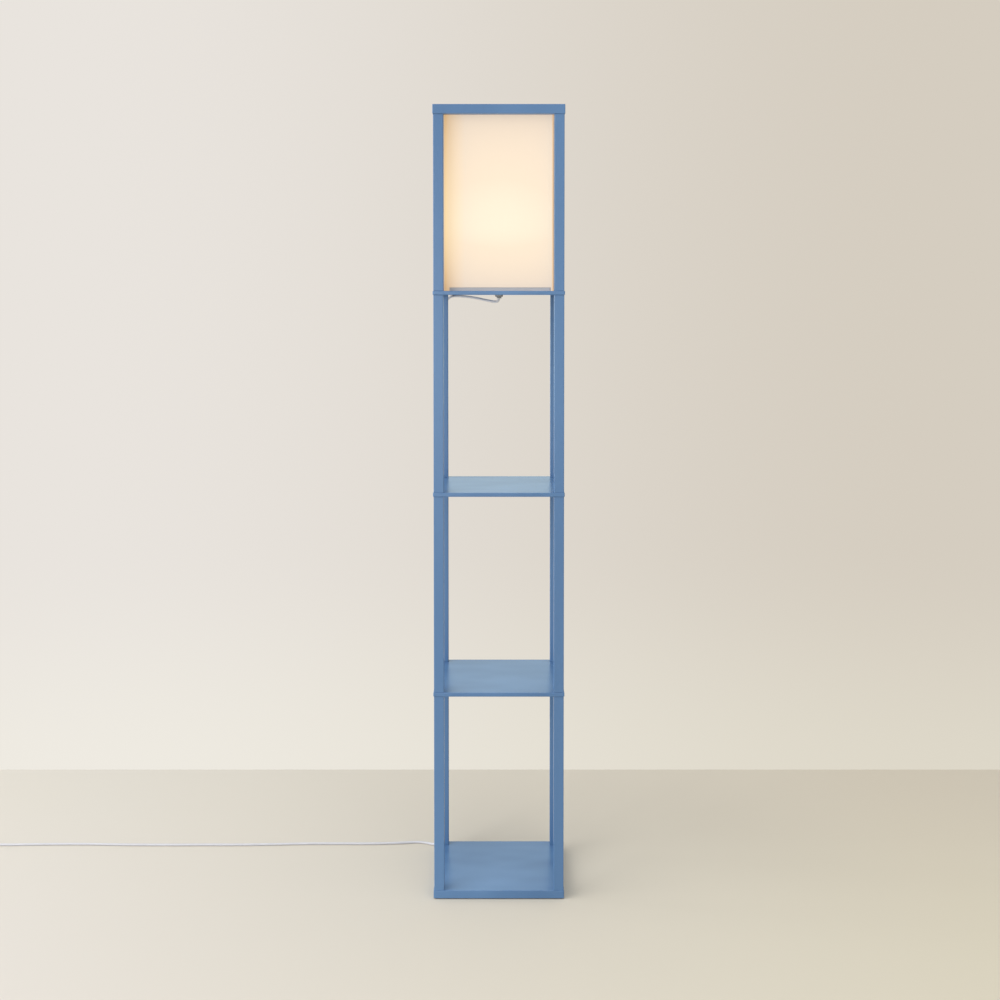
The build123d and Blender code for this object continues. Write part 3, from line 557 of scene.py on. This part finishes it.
def rolled_thread():
    """Rolls a rounded thread into the outer or inner wall of a turned shape about the Z axis."""
    tree, given = new_tree("rolled_thread", [
        ("Pitch", "Float"), ("Depth", "Float"), ("Start Angle", "Float"), ("Low", "Float"), ("High", "Float"),
        ("Least Radius", "Float")])
    spot = add(tree, "GeometryNodeInputPosition").outputs[0]
    x, y, z = add(tree, "ShaderNodeSeparateXYZ", {0: spot}).outputs
    flat = add(tree, "ShaderNodeVectorMath", {0: spot, 1: (1, 1, 0)}, operation="MULTIPLY").outputs[0]
    radius = add(tree, "ShaderNodeVectorMath", {0: flat}, operation="LENGTH").outputs["Value"]
    outward = add(tree, "ShaderNodeVectorMath", {0: flat}, operation="NORMALIZE").outputs[0]
    around = add(tree, "ShaderNodeMath", {0: y, 1: x}, operation="ARCTAN2").outputs[0]
    behind = add(tree, "ShaderNodeMath", {
        0: given["Start Angle"], 1: around}, operation="SUBTRACT").outputs[0]
    lead_rate = add(tree, "ShaderNodeMath", {0: TURN, 1: given["Pitch"]}, operation="DIVIDE").outputs[0]
    phase = add(tree, "ShaderNodeMath", {0: z, 1: lead_rate, 2: behind}, operation="MULTIPLY_ADD").outputs[0]
    wave = add(tree, "ShaderNodeMath", {0: phase}, operation="COSINE").outputs[0]
    below = add(tree, "ShaderNodeMath", {0: 0.0, 1: given["Depth"]}, operation="SUBTRACT").outputs[0]
    cut = add(tree, "ShaderNodeMapRange", {
        "Value": wave, "From Min": -1.0, "To Min": below, "To Max": 0.0}).outputs[0]
    # The thread fades in and out over its first and last turn.
    from_low = add(tree, "ShaderNodeMath", {0: z, 1: given["Low"]}, operation="SUBTRACT").outputs[0]
    from_high = add(tree, "ShaderNodeMath", {0: given["High"], 1: z}, operation="SUBTRACT").outputs[0]
    nearer = add(tree, "ShaderNodeMath", {0: from_low, 1: from_high}, operation="MINIMUM").outputs[0]
    fade = add(tree, "ShaderNodeMapRange", {"Value": nearer, "From Max": given["Pitch"]}).outputs[0]
    amount = add(tree, "ShaderNodeMath", {0: cut, 1: fade}, operation="MULTIPLY").outputs[0]
    move = add(tree, "ShaderNodeVectorMath", {0: outward, "Scale": amount}, operation="SCALE").outputs[0]
    on_wall = add(tree, "ShaderNodeMath", {
        0: radius, 1: given["Least Radius"]}, operation="GREATER_THAN").outputs[0]
    moved = add(tree, "GeometryNodeSetPosition", {
        "Geometry": given["Geometry"], "Selection": on_wall, "Offset": move}).outputs[0]
    finish_tree(tree, moved, given)
    return tree


def row_of_copies():
    """Copies a shape along a straight row, each a little smaller or larger than the one before."""
    tree, given = new_tree("row_of_copies", [
        ("Count", "Int"), ("Start", "Vector"), ("Step", "Vector"), ("Last Size", "Float")])
    line = add(tree, "GeometryNodeMeshLine", {
        "Count": given["Count"], "Start Location": given["Start"], "Offset": given["Step"],
    }, mode="OFFSET").outputs[0]
    index = add(tree, "GeometryNodeInputIndex").outputs[0]
    last = add(tree, "ShaderNodeMath", {0: given["Count"], 1: 1.0}, operation="SUBTRACT").outputs[0]
    size = add(tree, "ShaderNodeMapRange", {
        "Value": index, "From Max": last, "To Min": 1.0, "To Max": given["Last Size"]}).outputs[0]
    copies = add(tree, "GeometryNodeInstanceOnPoints", {
        "Points": line, "Instance": given["Geometry"], "Scale": size}).outputs[0]
    finish_tree(tree, copies, given)
    return tree


def four_corners():
    """Copies a shape to the four corners of a square."""
    tree, given = new_tree("four_corners", [("Span", "Float")])
    square = add(tree, "GeometryNodeMeshGrid", {
        "Size X": given["Span"], "Size Y": given["Span"], "Vertices X": 2, "Vertices Y": 2}).outputs[0]
    copies = add(tree, "GeometryNodeInstanceOnPoints", {
        "Points": square, "Instance": given["Geometry"]}).outputs[0]
    finish_tree(tree, copies, given)
    return tree


# ---------------------------------------------------------------------------
# Shade
# ---------------------------------------------------------------------------

wall = 1.2 * MM               # cloth and sheet together
fold_radius = 2.5 * MM        # of the cloth's middle, at a corner
fold_steps = 6
lap_wall = 0.8 * MM
lap_turn = 1.0 * MM
lap_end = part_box("shade_overlap")[1].x
lap_low = 12 * MM             # above the shelf, clear of the frame's bar
lap_drop = 12 * MM            # below the shade's top edge, clear of the wire
slot_half = 101 * MM
slot_height = 7 * MM
front_slot_shift = 2.7 * MM
bow = 0.5 * MM                # how far a panel draws in between its corners
station_gap = 10 * MM
row_count = 34
fold_shade_width = 1 * MM         # how far beyond a fold the painted shade reaches
cut_clear = 3 * MM            # how far the other stations keep from a cut


def leg(start, end, inward, thick, cuts=()):
    """Stations along a straight panel: (x, y, inward x, inward y, wall, fold shade), with some at the cuts.
    """
    start = Vector(start)
    end = Vector(end)
    length = (end - start).length
    count = math.ceil(length / station_gap)
    cuts = [*cuts, fold_shade_width, length - fold_shade_width]
    ways = [length * i / count for i in range(count)]
    ways = [way for way in ways if way == 0 or all(abs(way - cut) > cut_clear for cut in cuts)] + cuts
    return [(*start.lerp(end, way / length), *inward, thick, float(way == 0)) for way in sorted(ways)]


def fold(centre, radius, start_angle, thick, end_thick=None):
    """Stations round a corner, a quarter turn to the left."""
    stations = []
    for i in range(fold_steps):
        angle = math.radians(start_angle + 90 * i / fold_steps)
        here = thick + ((end_thick or thick) - thick) * i / fold_steps
        out = (math.cos(angle), math.sin(angle))
        x = centre[0] + radius * out[0]
        y = centre[1] + radius * out[1]
        stations.append((x, y, -out[0], -out[1], here, 1.0))
    return stations


def shade_stations():
    """The shade in plan, from the front panel's raw edge once round to the end of the lap behind it."""
    mid = shade_half - wall / 2
    turn = mid - fold_radius
    lap_y = -shade_half + wall + lap_wall / 2
    front_cuts = [shade_half + front_slot_shift - slot_half, shade_half + front_slot_shift + slot_half]
    side_cuts = [turn - slot_half, turn + slot_half]
    stations = leg((-shade_half, -mid), (turn, -mid), (0, 1), wall, front_cuts)
    stations[0] = (*stations[0][:5], 0.0)    # the raw edge is no fold
    stations += fold((turn, -turn), fold_radius, -90, wall)
    stations += leg((mid, -turn), (mid, turn), (-1, 0), wall, side_cuts)
    stations += fold((turn, turn), fold_radius, 0, wall)
    stations += leg((turn, mid), (-turn, mid), (0, -1), wall, side_cuts)
    stations += fold((-turn, turn), fold_radius, 90, wall)
    stations += leg((-mid, turn), (-mid, lap_y + lap_turn), (1, 0), wall, side_cuts)
    stations += fold((-mid + lap_turn, lap_y + lap_turn), lap_turn, 180, wall, lap_wall)
    lap_start = len(stations)
    stations += leg((-mid + lap_turn, lap_y), (lap_end, lap_y), (0, 1), lap_wall)
    stations.append((lap_end, lap_y, 0, 1, lap_wall, 0.0))
    return stations, lap_start


def in_slot(first, second):
    """Whether the cloth between two stations is cut away at its foot for the frame's bar."""
    x = (first[0] + second[0]) / 2
    y = (first[1] + second[1]) / 2
    # On the front and the back, the inward way has no x.
    if first[2] == 0 and second[2] == 0:
        return abs(x - (front_slot_shift if y < 0 else 0)) < slot_half
    return abs(y) < slot_half and abs(x) > shade_half - 2 * wall


def shade_piece():
    """The wrapped cloth: one strip, folded at its corners, lapped and glued at the front left."""
    low, high = [corner.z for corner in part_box("shade_front")]
    height = high - low
    stations, lap_start = shade_stations()
    rows = [0.0, slot_height, lap_low]
    rows += [lap_low + (height - lap_low - lap_drop) * i / row_count for i in range(1, row_count + 1)]
    rows.append(height)
    ways = [0.0]
    for before, here in zip(stations, stations[1:]):
        ways.append(ways[-1] + math.hypot(here[0] - before[0], here[1] - before[1]))

    points = []
    for x, y, inward_x, inward_y, thick, _ in stations:
        # 1 in a panel's middle and nearly 0 at its corners.
        middle = 1 - min(1, min(abs(x), abs(y)) / shade_half) ** 2
        for up in rows:
            draw = bow * middle * math.sin(math.pi * up / height)
            for depth in (-thick / 2, thick / 2):
                reach = draw + depth
                points.append((x + inward_x * reach, y + inward_y * reach, low + up))

    def kept(i, j):
        if not (0 <= i < len(stations) - 1 and 0 <= j < len(rows) - 1):
            return False
        if i >= lap_start:
            return rows[j] >= lap_low and rows[j + 1] < height
        return not (j == 0 and in_slot(stations[i], stations[i + 1]))

    faces = []
    for i in range(len(stations) - 1):
        for j in range(len(rows) - 1):
            if not kept(i, j):
                continue
            corners = [(i, j), (i + 1, j), (i + 1, j + 1), (i, j + 1)]
            ring = [2 * (station * len(rows) + level) for station, level in corners]
            faces.append(tuple(ring))
            faces.append(tuple(corner + 1 for corner in reversed(ring)))
            beside = [(i, j - 1), (i + 1, j), (i, j + 1), (i - 1, j)]
            for edge, neighbour in enumerate(beside):
                if not kept(*neighbour):
                    here, ahead = ring[edge], ring[(edge + 1) % 4]
                    faces.append((ahead, here, here + 1, ahead + 1))

    mesh = mesh_of("shade_cloth", points, faces)
    spread = mesh.uv_layers.new(name="cloth")
    for loop in mesh.loops:
        station, level = divmod(loop.vertex_index // 2, len(rows))
        spread.data[loop.index].uv = (ways[station], rows[level])
    # Marks the folds for the cloth's painted shade.
    crease = mesh.attributes.new("crease", "FLOAT", "POINT")
    crease.data.foreach_set("value", [station[5] for station in stations for _ in range(2 * len(rows))])
    form = bmesh.new()
    form.from_mesh(mesh)
    bmesh.ops.delete(form, geom=[point for point in form.verts if not point.link_faces], context="VERTS")
    form.to_mesh(mesh)
    form.free()
    piece = new_piece("shade_cloth", mesh, "shade_fabric")
    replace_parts(piece, "shade_front", "shade_back", "shade_left", "shade_right", "shade_overlap")


shade_piece()


# ---------------------------------------------------------------------------
# Threads, ridges and pads
# ---------------------------------------------------------------------------

CAP_PITCH = 25.4 * MM / 7     # seven threads to the inch
CAP_THREAD_DEPTH = 0.8 * MM
CAP_CONE_RADIUS = 10.5 * MM
CAP_CONE_HEIGHT = 4 * MM
CAP_EDGE = 0.6 * MM           # height of the shoulder between the cone and the wall
WALL_SKIN = 0.1 * MM          # a thread moves what lies outside this depth in its wall

thread = rolled_thread()


def bulb_cap():
    """The bulb's cap with its rolled thread and its cone down to the tip."""
    low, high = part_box("bulb_cap")
    radius = high.x
    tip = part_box("bulb_tip")[1].x
    cone_top = (CAP_CONE_RADIUS, low.z + CAP_CONE_HEIGHT)
    wall_low = (radius, cone_top[1] + CAP_EDGE)
    outline = [(0, low.z), (tip, low.z), *finely(cone_top, wall_low), *finely(wall_low, (radius, high.z))]
    outline += [(radius, high.z), (0, high.z)]
    made = run_tree("bulb_cap_thread", turned_mesh("bulb_cap_thread", outline), thread, {
        "Pitch": CAP_PITCH, "Depth": CAP_THREAD_DEPTH, "Start Angle": 0.0,
        "Low": wall_low[1], "High": high.z - 2 * MM,
        "Least Radius": radius - WALL_SKIN, "Material": materials["bulb_aluminium"]})
    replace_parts(new_piece("bulb_cap_thread", made, "bulb_aluminium", "bulb"), "bulb_cap")


def screw_shell():
    """The holder's brass shell, rolled to the same thread, a little wider than the cap's."""
    low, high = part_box("screw_shell")
    sheet = 0.25 * MM
    depth = 0.25 * MM             # rolled outward, so the cap's thread stays clear of it
    inner = high.x - sheet - depth
    outer = inner + sheet
    bore = 6.0 * MM               # of the hole in its floor
    outline = [(bore, low.z), *finely((outer, low.z), (outer, high.z)), (outer, high.z)]
    outline += finely((inner, high.z), (inner, low.z + sheet))
    outline += [(inner, low.z + sheet), (bore, low.z + sheet)]
    made = run_tree("screw_shell_thread", turned_mesh("screw_shell_thread", outline), thread, {
        "Pitch": CAP_PITCH, "Depth": -depth, "Start Angle": math.pi,
        "Low": low.z + 1 * MM, "High": high.z - 0.5 * MM,
        "Least Radius": inner - WALL_SKIN, "Material": materials["brass"]})
    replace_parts(new_piece("screw_shell_thread", made, "brass"), "screw_shell")


def nipple():
    """The threaded tube, its thread cut from end to end."""
    low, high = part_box("nipple")
    radius = high.x
    bore = 3.8 * MM
    ease = 0.4 * MM               # chamfer at each end
    pitch = 1.0 * MM
    depth = 0.55 * MM
    outline = [(bore, low.z), (radius - ease, low.z)]
    outline += finely((radius, low.z + ease), (radius, high.z - ease), 0.2 * MM)
    outline += [(radius, high.z - ease), (radius - ease, high.z), (bore, high.z)]
    made = run_tree("nipple_thread", turned_mesh("nipple_thread", outline, around=48), thread, {
        "Pitch": pitch, "Depth": depth, "Start Angle": 0.0, "Low": low.z, "High": high.z,
        "Least Radius": radius - WALL_SKIN, "Material": materials["zinc_plated_steel"]})
    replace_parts(new_piece("nipple_thread", made, "zinc_plated_steel"), "nipple")


def ridge_mesh(length, width, height, lean):
    """A half-round bar across the rocker, its ends rounded down, leaning with the face it stands on."""
    # Places along it, as shares of its length, and its size there.
    lengthwise = [(-0.5, 0.05), (-0.46, 0.7), (-0.36, 1.0), (0.36, 1.0), (0.46, 0.7), (0.5, 0.05)]
    steps = 8
    sunk = 0.3                    # of its height, so that it grows out of the rocker's face
    turn = Matrix.Rotation(lean, 3, "Y")
    points = []
    for way, size in lengthwise:
        for i in range(steps + 1):
            angle = math.pi * i / steps
            points.append(turn @ Vector((
                width / 2 * size * math.cos(angle),
                way * length,
                height * (size * math.sin(angle) - sunk))))
    ring = steps + 1
    faces = [tuple(reversed(range(ring))), tuple(range(len(points) - ring, len(points)))]
    for k in range(len(lengthwise) - 1):
        for i in range(ring):
            ahead = (i + 1) % ring
            faces.append((k * ring + i, k * ring + ahead, (k + 1) * ring + ahead, (k + 1) * ring + i))
    return mesh_of("ridge", points, faces)


def rocker_ridges():
    """Four ridges across each end of the rocker, for the finger that presses it."""
    pivot = Vector(next(joint for joint in frame["joints"] if joint["name"] == "switch_rock")["pos_m"])
    lean = math.radians(9)        # at rest
    tilt = Matrix.Rotation(lean, 3, "Y")
    face_height = 1.8 * MM        # of the rocker's middle above its pivot
    slope = 1.6 / 11.0            # of its two halves, up from the middle
    count = 4
    first_out = 5.0 * MM          # from the middle to the first ridge
    apart = 1.6 * MM
    length, width, height = 9.0 * MM, 0.8 * MM, 0.45 * MM
    row = row_of_copies()
    for name, side in (("rocker_ridges_near", 1), ("rocker_ridges_far", -1)):
        first = Vector((side * first_out, 0, face_height + first_out * slope))
        step = Vector((side * apart, 0, apart * slope))
        bar = ridge_mesh(length, width, height, lean - side * math.atan(slope))
        made = run_tree(name, bar, row, {
            "Count": count, "Start": pivot + tilt @ first, "Step": tilt @ step, "Last Size": 0.85,
            "Material": materials["white_plastic"]})
        new_piece(name, made, "white_plastic", "rocker")


def felt_pads():
    """Four punched felt discs, their edges a little uneven, pressed thin under the base."""
    low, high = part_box("felt_feet")
    radius = 10 * MM
    thick = high.z - low.z
    around = 64
    unevenness = 0.006            # of the radius
    # The pad's radius and height at each level, as shares of the full ones.
    levels = [(0.9, 0.0), (0.985, 0.2), (1.0, 0.5), (0.985, 0.8), (0.95, 1.0)]
    points = [(0, 0, 0)]
    for share, up in levels:
        for i in range(around):
            angle = TURN * i / around
            fray = 1 - unevenness * (1 + math.sin(9 * angle + 3 * up) * math.sin(23 * angle))
            reach = radius * share * fray
            points.append((reach * math.cos(angle), reach * math.sin(angle), up * thick))
    points.append((0, 0, thick))
    faces = []
    top = 1 + (len(levels) - 1) * around
    for i in range(around):
        ahead = (i + 1) % around
        faces.append((0, 1 + ahead, 1 + i))
        for ring in range(1, top, around):
            faces.append((ring + i, ring + ahead, ring + around + ahead, ring + around + i))
        faces.append((top + i, top + ahead, len(points) - 1))
    made = run_tree("felt_pads", mesh_of("felt_pads", points, faces), four_corners(), {
        "Span": 2 * (high.x - radius), "Material": materials["felt"]})
    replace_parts(new_piece("felt_pads", made, "felt"), "felt_feet")


bulb_cap()
screw_shell()
nipple()
rocker_ridges()
felt_pads()


# ---------------------------------------------------------------------------
# Studio
# ---------------------------------------------------------------------------

# The floor's and the backdrop's colours, each at the picture's left and at its right. They hold painted
# light: the backdrop is lighter on the left and low down and darker to the right, and the floor is warmer to
# the right and a little darker there at the back.
FLOOR_BACK = ("#D4CEC3", "#D3C9B7")
FLOOR_FRONT = ("#D5CFC7", "#D9D1BC")
WALL_HIGH = ("#E9E4DE", "#D5CDC0")
WALL_LOW = ("#EFEBE2", "#DED8C9")
FLOOR_END = 0.656             # where the floor ends, at the back
FLOOR_NEAR = -0.7             # from here forward the floor has its front colours
FLOOR_HALF = 0.95             # how far left and right the floor's colour changes
FLOOR_SPAN = 9
WALL_HALF = 0.3               # the same for the backdrop, in the direction of sight
WALL_DROP = (-0.16, -0.32)    # from its high colours to its low ones, in that direction
WORLD_LIGHT = 0.66

# The photograph's camera, fitted to the lamp's edges.
SENSOR_MM = 36
LENS_MM = 51.91
LENS_SHIFT = (-0.0035, -0.1537)
CAMERA_PLACE = (0.00924, -2.98226, 1.21787)
CAMERA_DOWN = 2.147           # degrees below level


def floor():
    """A pale matt floor that ends in front of a pale backdrop, with painted light: a little warmer to the
    right.
    """
    material, tree, place = new_material("pale_matt_floor")
    x, y, _ = add(tree, "ShaderNodeSeparateXYZ", {0: place}).outputs
    across = add(tree, "ShaderNodeMapRange", {
        "Value": x, "From Min": -FLOOR_HALF, "From Max": FLOOR_HALF}).outputs[0]
    back, front = [add(tree, "ShaderNodeValToRGB", {"Fac": across}, [
        (0.0, colour(left)), (1.0, colour(right))]).outputs[0] for left, right in (FLOOR_BACK, FLOOR_FRONT)]
    depth = add(tree, "ShaderNodeMapRange", {
        "Value": y, "From Min": FLOOR_END, "From Max": FLOOR_NEAR,
    }, interpolation_type="SMOOTHSTEP").outputs[0]
    base = add(tree, "ShaderNodeMix", {
        MIX_SHARE: depth, MIX_FIRST: back, MIX_SECOND: front}, data_type="RGBA").outputs[MIX_OUT]
    finish_material(tree, {"Base Color": base, "Roughness": 0.9, "Specular IOR Level": 0.15})
    mesh = bpy.data.meshes.new("floor")
    mesh.from_pydata([
        (-FLOOR_SPAN, -FLOOR_SPAN, 0), (FLOOR_SPAN, -FLOOR_SPAN, 0),
        (FLOOR_SPAN, FLOOR_END, 0), (-FLOOR_SPAN, FLOOR_END, 0)], [], [(0, 1, 2, 3)])
    mesh.materials.append(material)
    plane = bpy.data.objects.new("floor", mesh)
    scene.collection.objects.link(plane)


def world():
    """A pale surround that the camera, the gloss and clear things see; it lights the rest evenly."""
    surround = bpy.data.worlds.new("studio")
    surround.use_nodes = True
    tree = surround.node_tree
    tree.nodes.clear()
    way = add(tree, "ShaderNodeTexCoord").outputs["Generated"]
    x, _, z = add(tree, "ShaderNodeSeparateXYZ", {0: way}).outputs
    across = add(tree, "ShaderNodeMapRange", {
        "Value": x, "From Min": -WALL_HALF, "From Max": WALL_HALF,
    }, interpolation_type="SMOOTHSTEP").outputs[0]
    # Painted light on the backdrop: lighter on the left and low down, darker to the right.
    high, low = [add(tree, "ShaderNodeValToRGB", {"Fac": across}, [
        (0.0, colour(left)), (1.0, colour(right))]).outputs[0] for left, right in (WALL_HIGH, WALL_LOW)]
    drop = add(tree, "ShaderNodeMapRange", {
        "Value": z, "From Min": WALL_DROP[0], "From Max": WALL_DROP[1],
    }, interpolation_type="SMOOTHSTEP").outputs[0]
    shown_colour = add(tree, "ShaderNodeMix", {
        MIX_SHARE: drop, MIX_FIRST: high, MIX_SECOND: low}, data_type="RGBA").outputs[MIX_OUT]
    shown = add(tree, "ShaderNodeBackground", {"Color": shown_colour}).outputs[0]
    light = add(tree, "ShaderNodeBackground", {"Color": (1, 1, 1, 1), "Strength": WORLD_LIGHT}).outputs[0]
    path = add(tree, "ShaderNodeLightPath").outputs
    gloss = add(tree, "ShaderNodeMath", {
        0: path["Is Glossy Ray"], 1: path["Is Transmission Ray"]}, operation="ADD").outputs[0]
    seen = add(tree, "ShaderNodeMath", {0: path["Is Camera Ray"], 1: gloss}, operation="MAXIMUM").outputs[0]
    both = add(tree, "ShaderNodeMixShader", {0: seen, 1: light, 2: shown}).outputs[0]
    add(tree, "ShaderNodeOutputWorld", {"Surface": both})
    scene.world = surround


def softbox(name, place, aim, size, power, tint=(1, 1, 1)):
    """A square area light aimed at a point, its size in metres and its power in watts."""
    light = bpy.data.lights.new(name, "AREA")
    light.size = size
    light.energy = power
    light.color = tint
    box = bpy.data.objects.new(name, light)
    box.location = place
    box.rotation_euler = (Vector(aim) - Vector(place)).to_track_quat("-Z", "Y").to_euler()
    box.visible_camera = False
    scene.collection.objects.link(box)


def camera():
    """The photograph's camera: a little above the middle, looking slightly down."""
    lens = bpy.data.cameras.new("camera")
    lens.sensor_width = SENSOR_MM
    lens.lens = LENS_MM
    lens.shift_x, lens.shift_y = LENS_SHIFT
    lens.clip_end = 50
    holder = bpy.data.objects.new("camera", lens)
    holder.location = CAMERA_PLACE
    holder.rotation_euler = (math.radians(90 - CAMERA_DOWN), 0, 0)
    scene.collection.objects.link(holder)
    scene.camera = holder


floor()
world()
softbox("key", (-4.3, -3.2, 2.7), (0, 0, 0.8), 3.5, 146)
softbox("side", (-4.8, -0.3, 2.2), (0, 0, 0.8), 2.9, 92)
softbox("front", (-1.2, -5.8, 1.0), (0, 0, 1.0), 2.0, 31)
softbox("back", (-0.1, 4.5, 2.1), (0, 0, 0.8), 3.2, 12.3, (0.28, 0.82, 1.0))
softbox("overhead", (0, -1.9, 7.0), (0, 0, 0.6), 3.2, 77)
camera()
scene.view_settings.view_transform = "Standard"
